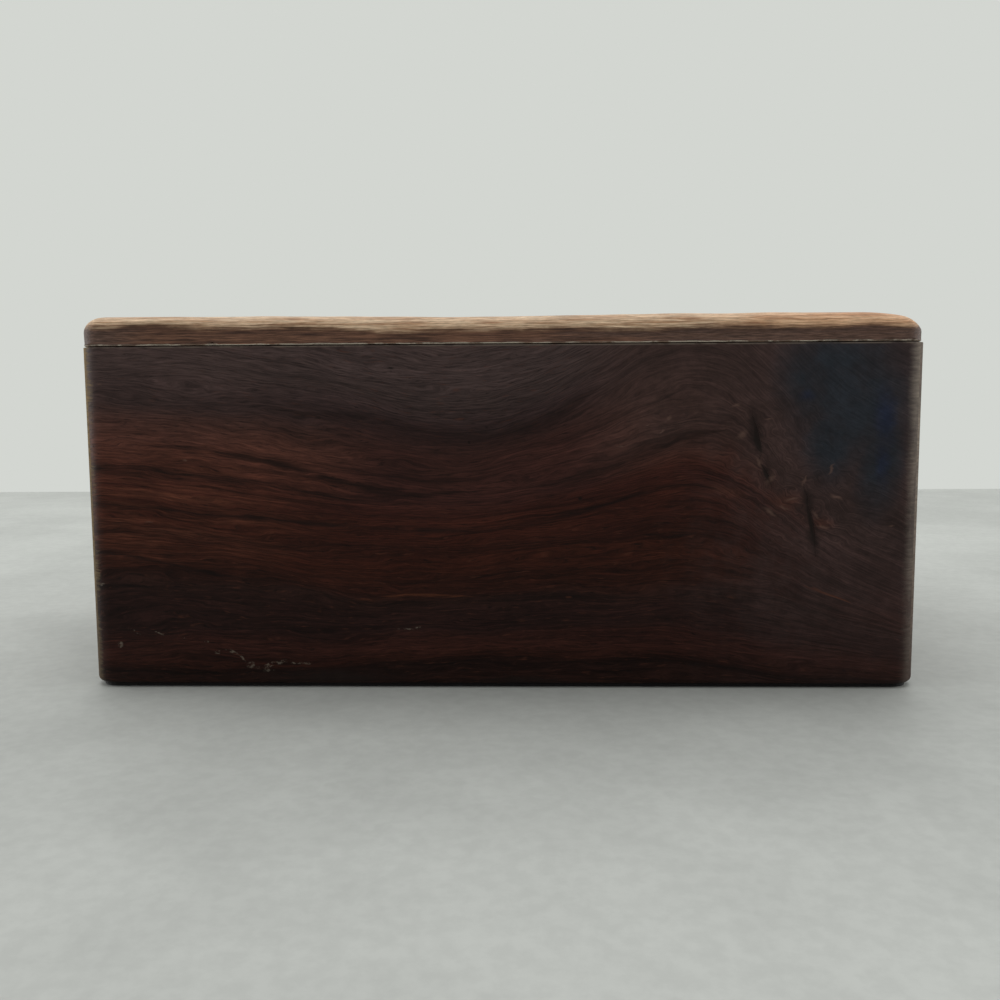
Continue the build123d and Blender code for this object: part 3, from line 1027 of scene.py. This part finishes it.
wallSizes = {
    "cornerRadius": 5.0,
    "cornerSteps": 12,
    "bottomEase": 1.0,
    "bottomSteps": 5,
    "topEase": 0.1,
    "topSteps": 2,
    "thickness": 8.0,
    "rebateWidth": 4.0,
    "baseEase": 0.3,
    "baseSharp": 60,  # degrees, past which its arrises are eased
    "stopSlope": 53.0,  # degrees, of the bevel that stops the lid
    "stopReach": 4.0,
    "leafThickness": 1.0,
    "leafClearance": 0.05,
    "leafBehind": 3.0,  # how far a mortise is cut out past the back
    "barrelRoom": 1.65,
    "barrelSlack": 0.15,
    "barrelSides": 48,
}

# Splits in the front board beside the knot: X, Z and half width at each place
fissures = [
    [(50.5, 57.0, 0.05), (50.2, 55.8, 0.1), (50.8, 54.2, 0.22), (51.2, 52.4, 0.45), (51.3, 50.8, 0.62),
     (51.9, 49.2, 0.5), (52.2, 48.0, 0.22), (51.9, 46.8, 0.2), (52.6, 45.2, 0.3), (53.6, 43.4, 0.42),
     (54.2, 41.9, 0.25), (54.6, 40.4, 0.05)],
    [(60.6, 42.8, 0.05), (60.9, 41.0, 0.14), (61.5, 39.4, 0.2), (61.6, 37.6, 0.24), (62.0, 36.2, 0.42),
     (62.4, 34.6, 0.52), (62.8, 32.4, 0.46), (63.2, 30.2, 0.28), (63.3, 28.6, 0.18), (63.6, 26.9, 0.05)],
]
fissureDepth = 0.5  # times the half width
fissureSpread = 1.25


def upright(a, b):
    return abs(a.x - b.x) < near and abs(a.y - b.y) < near


def levelAt(height):
    return lambda a, b: abs(a.z - height) < near and abs(b.z - height) < near


def wallBlank():
    blank = addBlock("wallBlank", wallLow, wallHigh)
    bevelEdges(blank, upright, wallSizes["cornerRadius"] * mm, wallSizes["cornerSteps"])
    bevelEdges(blank, levelAt(wallLow.z), wallSizes["bottomEase"] * mm, wallSizes["bottomSteps"])
    bevelEdges(blank, levelAt(wallHigh.z), wallSizes["topEase"] * mm, wallSizes["topSteps"])
    return blank


def cutWall(blank, name, outward):
    # outward is the wall's own direction; its ends are mitred at 45 degrees
    board = copyOf(blank, name)
    outward = Vector(outward)
    sideways = Vector((-outward.y, outward.x, 0))
    middle = (wallLow + wallHigh) / 2
    half = (wallHigh - wallLow) / 2
    face = middle + Vector((outward.x * half.x, outward.y * half.y, 0))
    reach = Vector((sideways.x * half.x, sideways.y * half.y, 0))
    cuts = [
        (face + reach, sideways - outward),
        (face - reach, -sideways - outward),
        (face - outward * wallSizes["thickness"] * mm, -outward),
    ]
    planeCuts(board, cuts)
    return board


def baseRebate():
    inset = Vector((1, 1, 0)) * (wallSizes["thickness"] - wallSizes["rebateWidth"]) * mm
    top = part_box("base_board")[1].z
    low, high = wallLow + inset, wallHigh - inset
    return addBlock("rebate", (low.x, low.y, 0), (high.x, high.y, top))


def splitCutter(places):
    # a thin tapering thread along the split, stretched into the board
    spline = bpy.data.curves.new("split", "CURVE")
    spline.dimensions = "3D"
    spline.bevel_depth = fissureSpread * mm
    spline.bevel_resolution = 1
    spline.use_fill_caps = True
    thread = spline.splines.new("POLY")
    thread.points.add(len(places) - 1)
    for point, (x, z, half) in zip(thread.points, places):
        point.co = (x * mm, wallLow.y, z * mm, 1)
        point.radius = half
    cutter = bpy.data.objects.new("split", spline)
    bpy.context.collection.objects.link(cutter)
    makeActive(cutter)
    bpy.ops.object.convert(target="MESH")
    mergeDoubles(cutter)
    for vertex in cutter.data.vertices:
        vertex.co.y = wallLow.y + (vertex.co.y - wallLow.y) * fissureDepth
    return cutter


def hingeMortise(side, which):
    # room for one leaf and for the back half of the barrel
    low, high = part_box(f"{side}_hinge_{which}_leaf")
    clear = wallSizes["leafClearance"] * mm
    seam = lidLow.z if which == "lid" else wallHigh.z
    thick = wallSizes["leafThickness"] * mm
    corner = (low.x - clear, low.y - clear, seam - thick)
    behind = wallHigh.y + wallSizes["leafBehind"] * mm
    return addBlock("pocket", corner, (high.x + clear, behind, seam + thick))


def cutForHinges(board, which):
    for side in hingeSides:
        carve(board, hingeMortise(side, which))
        low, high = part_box(f"{side}_hinge_{which}_leaf")
        middle = ((low.x + high.x) / 2, pinPlace.y, pinPlace.z)
        length = high.x - low.x + wallSizes["barrelSlack"] * mm
        radius, sides = wallSizes["barrelRoom"] * mm, wallSizes["barrelSides"]
        carve(board, addRod("barrelRoom", middle, radius, length, sides))


def cutStopBevel(board, upward):
    # takes off the back arris at the seam, so that the lid stops open
    reach = wallSizes["stopReach"] * mm
    low = (wallLow.x - reach, pinPlace.y, min(pinPlace.z, pinPlace.z - upward * reach))
    high = (wallHigh.x + reach, pinPlace.y + reach, max(pinPlace.z, pinPlace.z - upward * reach))
    wedge = addBlock("wedge", low, high)
    turn = Matrix.Rotation(upward * math.radians(wallSizes["stopSlope"]), 4, "X")
    wedge.data.transform(Matrix.Translation(pinPlace) @ turn @ Matrix.Translation(-pinPlace))
    carve(board, wedge)


def makeWalls():
    blank = wallBlank()
    outwards = {
        "front_wall": ("frontBoard", (0, -1, 0)),
        "right_wall": ("rightBoard", (1, 0, 0)),
        "back_wall": ("backBoard", (0, 1, 0)),
        "left_wall": ("leftBoard", (-1, 0, 0)),
    }
    for node, (name, outward) in outwards.items():
        board = cutWall(blank, name, outward)
        carve(board, baseRebate())
        if node == "back_wall":
            cutForHinges(board, "wall")
            cutStopBevel(board, -1)
        if node == "front_wall":
            for places in fissures:
                carve(board, splitCutter(places))
        mergeDoubles(board)
        shadeByAngle(board)
        dress(board, woodFor[node], "case", "wall_wood", node)
    bpy.data.objects.remove(blank)


makeWalls()
print("walls ready")


# Lid: a flat board whose arrises are planed by hand

lidSizes = {
    "cornerRadius": 5.0,
    "cornerSteps": 10,
    "ease": 3.0,
    "easeSteps": 6,
    "lowerEase": 0.16,
    "lowerSteps": 2,
    "leftEnd": (5.5, 1.6),  # how far in the end's rounding runs, and how far it drops
    "rightEnd": (12.5, 3.5),
    "dip": (-2.5, 25.0, 0.42),  # a hollow planed into the top: its middle, reach and depth
    "sliceAcross": 1.2,
    "sliceAlong": 5.0,
    "levelSlices": (0.5, 1.1, 1.9),
    "endSlices": (0.1, 0.25, 0.5, 0.8, 1.7, 2.9),  # more cuts near the ends, to make them round
    "lineWaver": (0.3, 15.0),  # how far the easing's line strays, and over what length
    "hollow": 0.16,  # how deep the plane's hollows go
    "hollowSize": (8.0, 4.0),  # across and up
    "hollowShare": 0.25,
    "hollowFade": 2.0,  # from the flat of the top outwards
    "stillFoot": 0.5,  # the lowest part, which only wears
    "stillBack": 14.0,  # nothing is worked nearer than this to the back
    "stillFade": 6.0,
    "stillBelow": 1.2,  # the ends are rounded off above this height, clear of the stop bevel
    "wear": 0.16,
    "wearSize": 2.1,
    "wearLeast": 0.4,
    "wornRim": 0.5,  # only this much of the underside wears
    "sharp": 24,  # degrees, past which an edge is shaded sharp
    "markedHeight": 0.6,  # below this, and between these slopes, a face belongs to the lower arris
    "markedSlopes": (-0.05, -0.95),
    "chips": [  # place along the front, half length, size
        (-82.0, 2.4, 0.45), (-68.0, 2.0, 0.5), (-61.2, 1.3, 0.4), (-57.4, 1.1, 0.45), (-35.0, 1.5, 0.2),
        (-8.0, 2.0, 0.22), (22.0, 1.4, 0.2), (47.0, 1.6, 0.25), (66.0, 1.2, 0.35), (71.5, 1.5, 0.3),
        (77.0, 1.2, 0.4), (81.5, 1.4, 0.3),
    ],
}


def topAt(x):
    # the height of the lid's top, rounded off at both ends by a quarter of an ellipse
    top = lidHigh.z
    for (run, drop), away in ((lidSizes["leftEnd"], x - lidLow.x), (lidSizes["rightEnd"], lidHigh.x - x)):
        share = 1 - max(0.0, away) / (run * mm)
        if share > 0:
            top -= drop * mm * (1 - math.sqrt(1 - share ** 2))
    return top


def fromCore(point):
    # the level vector to a point from the flat middle of the lid, inside its rounded corners
    radius = lidSizes["cornerRadius"] * mm
    x = min(max(point.x, lidLow.x + radius), lidHigh.x - radius)
    y = min(max(point.y, lidLow.y + radius), lidHigh.y - radius)
    return Vector((point.x - x, point.y - y, 0))


def onOutline(point):
    return fromCore(point).length > (lidSizes["cornerRadius"] - 0.02) * mm  # with a little slack


def wornBy(point):
    # how far the lower arris is worn back, in millimetres
    x, y, size = point.x / mm, point.y / mm, lidSizes["wearSize"]
    worn = lidSizes["wear"] * (lidSizes["wearLeast"] + noise.noise(Vector((x / size, y / size, 3.0))))
    if point.y < lidLow.y + lidSizes["cornerRadius"] * mm:
        for place, half, size in lidSizes["chips"]:
            worn += size * max(0.0, 1 - ((x - place) / half) ** 2)
    return max(0.0, worn)


def planedPoint(point, normal):
    # where hand planing and wear leave a point of the lid
    low, high = lidLow.z / mm, lidHigh.z / mm
    start, fixed = high - lidSizes["ease"], low + lidSizes["stillFoot"]
    moved = point.copy()
    reach = fromCore(point)
    height = point.z / mm
    x, y = point.x / mm, point.y / mm
    if height > fixed:
        strays, size = lidSizes["lineWaver"]
        line = between(easingLine, x) + strays * noise.noise(Vector((x / size, y / size, 1.0)))
        if height < start:
            height = fixed + (height - fixed) * (line - fixed) / (start - fixed)
        else:
            height = line + (height - start) * (high - line) / (high - start)
        moved.z = height * mm
        nearEdge = min(1.0, reach.length / (lidSizes["hollowFade"] * mm))
        wide, tall = lidSizes["hollowSize"]
        hollow = noise.noise(Vector((x / wide, y / wide, height / tall))) + lidSizes["hollowShare"]
        moved -= normal * max(0.0, hollow) * lidSizes["hollow"] * nearEdge * mm
        middle, span, depth = lidSizes["dip"]
        sunk = depth * math.exp(-((x - middle) / span) ** 2) * max(0.0, (height - start) / (high - start))
        moved.z -= sunk * mm
    elif reach.length > (lidSizes["cornerRadius"] - lidSizes["wornRim"]) * mm:
        worn = wornBy(point) * mm
        if height < low + 0.05:  # on the underside
            moved -= reach.normalized() * worn
        else:
            moved.z += worn
    return moved


def planeByHand(lid):
    sliceEvery(lid, 0, lidSizes["sliceAcross"] * mm, lidLow.x, lidHigh.x)
    sliceEvery(lid, 1, lidSizes["sliceAlong"] * mm, lidLow.y, lidHigh.y)
    cuts = [(Vector((0, 0, lidLow.z + up * mm)), Vector((0, 0, 1))) for up in lidSizes["levelSlices"]]
    for away in lidSizes["endSlices"]:
        cuts.append((lidLow + Vector((away * mm, 0, 0)), Vector((1, 0, 0))))
        cuts.append((lidHigh - Vector((away * mm, 0, 0)), Vector((1, 0, 0))))
    planeCuts(lid, cuts, trim=False)
    limit = wallHigh.y - lidSizes["stillBack"] * mm
    fixed = lidLow.z + lidSizes["stillBelow"] * mm
    for vertex in lid.data.vertices:
        if vertex.co.y < limit:
            share = min(1.0, (limit - vertex.co.y) / (lidSizes["stillFade"] * mm))
            vertex.co = vertex.co.lerp(planedPoint(vertex.co, vertex.normal), share)
        if vertex.co.z > fixed:
            left = (topAt(vertex.co.x) - fixed) / (lidHigh.z - fixed)
            vertex.co.z = fixed + (vertex.co.z - fixed) * left


def markArris(lid):
    # the material draws a pale broken line on the worn faces between the front and the underside
    marks = lid.data.attributes.new(lidEdge["mark"], "FLOAT", "FACE")
    steepest, flattest = lidSizes["markedSlopes"]
    for face in lid.data.polygons:
        low = face.center.z < lidLow.z + lidSizes["markedHeight"] * mm
        marks.data[face.index].value = float(low and flattest < face.normal.z < steepest)


def makeLid():
    lid = addBlock("lidBoard", lidLow, lidHigh)
    cutForHinges(lid, "lid")
    cutStopBevel(lid, 1)
    atEnd = lambda point: min(abs(point.x - lidLow.x), abs(point.x - lidHigh.x)) < near
    radius, steps = lidSizes["cornerRadius"] * mm, lidSizes["cornerSteps"]
    bevelEdges(lid, lambda a, b: upright(a, b) and atEnd(a), radius, steps)
    bevelEdges(lid, levelAt(lidHigh.z), lidSizes["ease"] * mm, lidSizes["easeSteps"])
    low = levelAt(lidLow.z)
    bevelEdges(lid, lambda a, b: low(a, b) and onOutline(a) and onOutline(b), lidSizes["lowerEase"] * mm,
               lidSizes["lowerSteps"])
    mergeDoubles(lid)
    planeByHand(lid)
    shadeByAngle(lid, lidSizes["sharp"])
    markArris(lid)
    dress(lid, woodFor["lid_board"], "lid", "lid_wood", "lid_board")


makeLid()
print("lid ready")


# Base board and felts

feltSettings = {
    # the felt under the base is near black, as dark as the contact shadow under the box: partly felt, partly
    # painted shadow
    "underShadowColour": (22, 21, 21),
    "floorColour": (92, 20, 26),
    "underCorner": 3.8,
    "floorCorner": 1.5,
    "cornerSteps": 6,
    "edgeEase": 0.25,
    "edgeSteps": 3,
    "sharp": 40,
    # waves, detail, roughness and seed of the textures, then how they shade the colour
    "fibres": ((0.5, 0.5, 0.5), 4, 0.65, 2.0),
    "fibreShade": (0.3, 0.7, 0.72, 1.25),
    "matting": ((5, 5, 5), 3, 0.6, 6.0),
    "mattingShade": (0.3, 0.7, 0.88, 1.1),
    "rough": 0.95,
    "sheen": 0.3,
    "specular": 0.2,
    "bump": 0.8,
    "relief": 0.35,
}


def felt(name, colour):
    material, tree, shader = newMaterial(name)
    place = objectPlace(tree)
    fibres = noiseAt(tree, place, *feltSettings["fibres"])
    matting = noiseAt(tree, place, *feltSettings["matting"])
    shade = product(tree, ramp(tree, fibres, *feltSettings["fibreShade"]),
                    ramp(tree, matting, *feltSettings["mattingShade"]))
    tree.links.new(brighten(tree, tone(*colour), shade), shader.inputs["Base Color"])
    shader.inputs["Roughness"].default_value = feltSettings["rough"]
    shader.inputs["Sheen Weight"].default_value = feltSettings["sheen"]
    shader.inputs["Specular IOR Level"].default_value = feltSettings["specular"]
    addBump(tree, shader, fibres, feltSettings["bump"], feltSettings["relief"])
    return material


def makeFelt(name, node, slotName, material, corner):
    low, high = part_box(node)
    piece = addBlock(name, low, high)
    bevelEdges(piece, upright, corner * mm, feltSettings["cornerSteps"])
    bevelEdges(piece, levelAt(high.z), feltSettings["edgeEase"] * mm, feltSettings["edgeSteps"])
    shadeByAngle(piece, feltSettings["sharp"])
    dress(piece, material, "case", slotName, node)


# the near-black felt under the base partly stands in for the contact shadow
makeFelt("underFelt", "base_felt", "base_felt", felt("blackShadowFelt", feltSettings["underShadowColour"]),
         feltSettings["underCorner"])
makeFelt("floorFelt", "floor_felt", "lining_felt", felt("redFelt", feltSettings["floorColour"]),
         feltSettings["floorCorner"])


def makeBase():
    low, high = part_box("base_board")
    base = addBlock("baseBoard", low, high)
    softenArrises(base, wallSizes["baseEase"] * mm, wallSizes["baseSharp"])
    shadeByAngle(base)
    dress(base, woodFor["base_board"], "case", "base_wood", "base_board")


makeBase()
print("base and felts ready")


# Hinges and screws: the brass as it comes from the frame, with its arrises taken off

brassSettings = {
    "colour": (184, 152, 98),
    "tarnish": (112, 86, 54),
    # waves, detail, roughness and seed of the textures, then what they do
    "brushing": ((6, 0.12, 0.12), 3, 0.6, 1.0),
    "staining": ((3, 2, 2), 4, 0.6, 9.0),
    "stained": (0.5, 0.75, 0.0, 0.75),
    "rough": (0.3, 0.75, 0.24, 0.46),
    "bump": 0.35,
    "relief": 0.02,
    "sharp": 35,  # degrees, past which an arris is taken off
    "leafArris": 0.06,
    "pinArris": 0.02,
    "screwArris": 0.04,
}


def brass(name):
    material, tree, shader = newMaterial(name)
    place = objectPlace(tree)
    brushing = noiseAt(tree, place, *brassSettings["brushing"])
    staining = noiseAt(tree, place, *brassSettings["staining"])
    stained = ramp(tree, staining, *brassSettings["stained"])
    colour = mixColour(tree, stained, tone(*brassSettings["colour"]), tone(*brassSettings["tarnish"]))
    tree.links.new(colour, shader.inputs["Base Color"])
    tree.links.new(ramp(tree, staining, *brassSettings["rough"]), shader.inputs["Roughness"])
    shader.inputs["Metallic"].default_value = 1.0
    addBump(tree, shader, brushing, brassSettings["bump"], brassSettings["relief"])
    return material


def finishMetal(node, body, slotName, material, arris):
    piece = copyOf(frame["nodes"][node], node + "_finished")
    piece.parent = None
    piece.matrix_world = Matrix.Identity(4)
    mergeDoubles(piece, 2 * near)
    softenArrises(piece, brassSettings[arris] * mm, brassSettings["sharp"])
    shadeByAngle(piece)
    dress(piece, material, body, slotName, node)


brassMaterial = brass("hingeBrass")
screwMaterial = brass("screwBrass")
for side in hingeSides:
    finishMetal(f"{side}_hinge_wall_leaf", "case", "hinge_brass", brassMaterial, "leafArris")
    finishMetal(f"{side}_hinge_lid_leaf", "lid", "hinge_brass", brassMaterial, "leafArris")
    finishMetal(f"{side}_hinge_pin", "case", "hinge_brass", brassMaterial, "pinArris")
    finishMetal(f"{side}_hinge_wall_screws", "case", "screw_brass", screwMaterial, "screwArris")
    finishMetal(f"{side}_hinge_lid_screws", "lid", "screw_brass", screwMaterial, "screwArris")
print("hinges ready")


# Table, light and camera

stageSettings = {
    "tableBack": 434.0,  # its far edge, behind the box's front
    "tableReach": 3000.0,
    "tableThickness": 25.0,
    "tableColour": (190, 193, 188),
    "tableRough": 0.55,
    # waves, detail, roughness and seed of the table's textures, then how they shade it
    "clouds": ((60, 60, 60), 5, 0.6, 2.0),
    "cloudShade": (0.3, 0.7, 0.9, 1.07),
    "grit": ((2.5, 2.5, 2.5), 3, 0.6, 3.0),
    "gritShade": (0.3, 0.7, 0.96, 1.04),
    "wallColour": (211, 214, 209),
    "worldStrength": 0.42,
    # each lamp: place, size and power; it faces the middle of the box
    "lamps": {
        "overhead": ((0.0, 190.0, 820.0), (1100.0, 900.0), 4.6),
        "leftWindow": ((-900.0, 80.0, 260.0), (600.0, 500.0), 2.0),
        "rightWindow": ((900.0, 80.0, 260.0), (600.0, 500.0), 1.5),
    },
}


def makeTable():
    reach = stageSettings["tableReach"] * mm
    back = wallLow.y + stageSettings["tableBack"] * mm
    table = addBlock("table", (-reach, -reach, -stageSettings["tableThickness"] * mm), (reach, back, 0))
    material, tree, shader = newMaterial("tableTop")
    place = objectPlace(tree)
    clouds = noiseAt(tree, place, *stageSettings["clouds"])
    grit = noiseAt(tree, place, *stageSettings["grit"])
    shade = product(tree, ramp(tree, clouds, *stageSettings["cloudShade"]),
                    ramp(tree, grit, *stageSettings["gritShade"]))
    tree.links.new(brighten(tree, tone(*stageSettings["tableColour"]), shade), shader.inputs["Base Color"])
    shader.inputs["Roughness"].default_value = stageSettings["tableRough"]
    table.data.materials.append(material)


def makeWorld():
    world = bpy.data.worlds.new("softRoom")
    bpy.context.scene.world = world
    world.use_nodes = True
    tree = world.node_tree
    tree.nodes.clear()
    shown = addNode(tree, "Background", {"Color": (*tone(*stageSettings["wallColour"]), 1), "Strength": 1.0})
    cast = addNode(tree, "Background", {"Color": (1, 1, 1, 1), "Strength": stageSettings["worldStrength"]})
    rays = addNode(tree, "LightPath", {}).outputs
    seen = either(tree, *[rays[f"Is {kind} Ray"] for kind in ("Camera", "Glossy", "Transmission")])
    mixed = addNode(tree, "MixShader", {0: seen, 1: cast.outputs[0], 2: shown.outputs[0]})
    output = addNode(tree, "OutputWorld", {})
    tree.links.new(mixed.outputs[0], output.inputs["Surface"])


def makeLights():
    target = (wallLow + wallHigh) / 2
    for name, (place, size, power) in stageSettings["lamps"].items():
        lamp = bpy.data.lights.new(name, "AREA")
        lamp.shape = "RECTANGLE"
        lamp.size, lamp.size_y = size[0] * mm, size[1] * mm
        lamp.energy = power
        holder = bpy.data.objects.new(name, lamp)
        holder.location = Vector(place) * mm
        holder.rotation_euler = (target - holder.location).to_track_quat("-Z", "Y").to_euler()
        bpy.context.collection.objects.link(holder)


cameraSettings = {
    "right": 5.13,  # of the box's middle
    "before": 201.4,  # its front face
    "up": 59.7,
    "yaw": 1.429,  # degrees, turned to the left
    "pitch": 5.91,  # downwards
    "roll": -0.316,
    "lens": 36.17,
    "sensor": 36.0,
    "nearest": 5.0,
}


def makeCamera():
    yaw, pitch, roll = (math.radians(cameraSettings[turn]) for turn in ("yaw", "pitch", "roll"))
    ahead = Vector((-math.sin(yaw) * math.cos(pitch), math.cos(yaw) * math.cos(pitch), -math.sin(pitch)))
    level = Vector((math.cos(yaw), math.sin(yaw), 0))
    overhead = level.cross(ahead)
    right = math.cos(roll) * level + math.sin(roll) * overhead
    up = -math.sin(roll) * level + math.cos(roll) * overhead
    lens = bpy.data.cameras.new("camera")
    lens.sensor_width = cameraSettings["sensor"]
    lens.lens = cameraSettings["lens"]
    lens.clip_start = cameraSettings["nearest"] * mm
    camera = bpy.data.objects.new("camera", lens)
    bpy.context.collection.objects.link(camera)
    turned = Matrix((right, up, -ahead)).transposed().to_4x4()
    place = Vector((cameraSettings["right"], 0, cameraSettings["up"])) * mm
    place.y = wallLow.y - cameraSettings["before"] * mm
    camera.matrix_world = Matrix.Translation(place) @ turned
    bpy.context.scene.camera = camera


makeTable()
makeWorld()
makeLights()
makeCamera()
bpy.context.scene.view_settings.view_transform = "Standard"
print("stage ready")
